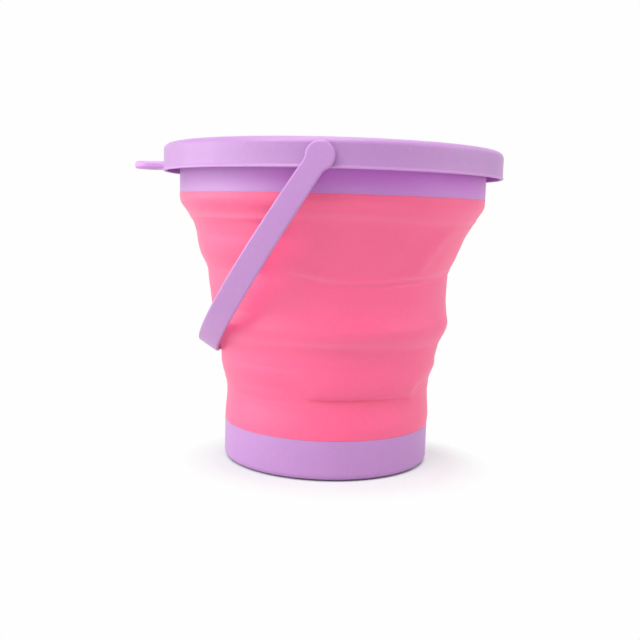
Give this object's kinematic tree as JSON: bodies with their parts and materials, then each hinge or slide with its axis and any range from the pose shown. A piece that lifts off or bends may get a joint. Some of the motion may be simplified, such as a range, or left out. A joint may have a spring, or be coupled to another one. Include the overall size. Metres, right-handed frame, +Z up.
{
  "type": "collapsible bucket",
  "caption": "Round camp bucket whose stepped rubber wall folds down between a rigid rim and base, with a swinging bail and a hanging tab.",
  "frame": {"origin": "centre of the flat underside, on the bucket's own axis", "axes": "+Z up along the bucket's axis; the bail's pivots lie along Y; the bail rests against the wall on the -X side, under the hanging tab, which points along -X"},
  "size_m": [0.2729, 0.2576, 0.229],
  "materials": {
    "lavender_plastic": "satin moulded polypropylene",
    "pink_rubber": "soft matte thermoplastic rubber"
  },
  "bodies": {
    "base": {"base_cup": "lavender_plastic", "lower_wall": "pink_rubber", "lower_fold": "pink_rubber"},
    "middle": {"middle_wall": "pink_rubber", "upper_fold": "pink_rubber"},
    "top": {"upper_wall": "pink_rubber", "rim_frame": "lavender_plastic"},
    "bail": {"handle": "lavender_plastic"}
  },
  "joints": [
    {"name": "lower_collapse", "type": "slide", "parent": "base", "child": "middle", "axis": [0, 0, -1], "range_m": [0, 0.078], "deforming": ["lower_fold"]},
    {"name": "upper_collapse", "type": "slide", "parent": "middle", "child": "top", "axis": [0, 0, -1], "range_m": [0, 0.084], "deforming": ["upper_fold"]},
    {"name": "bail_swing", "type": "hinge", "parent": "top", "child": "bail", "pos_m": [0, 0, 0.217], "axis": [0, 1, 0], "range_deg": [0, 293.5]}
  ]
}
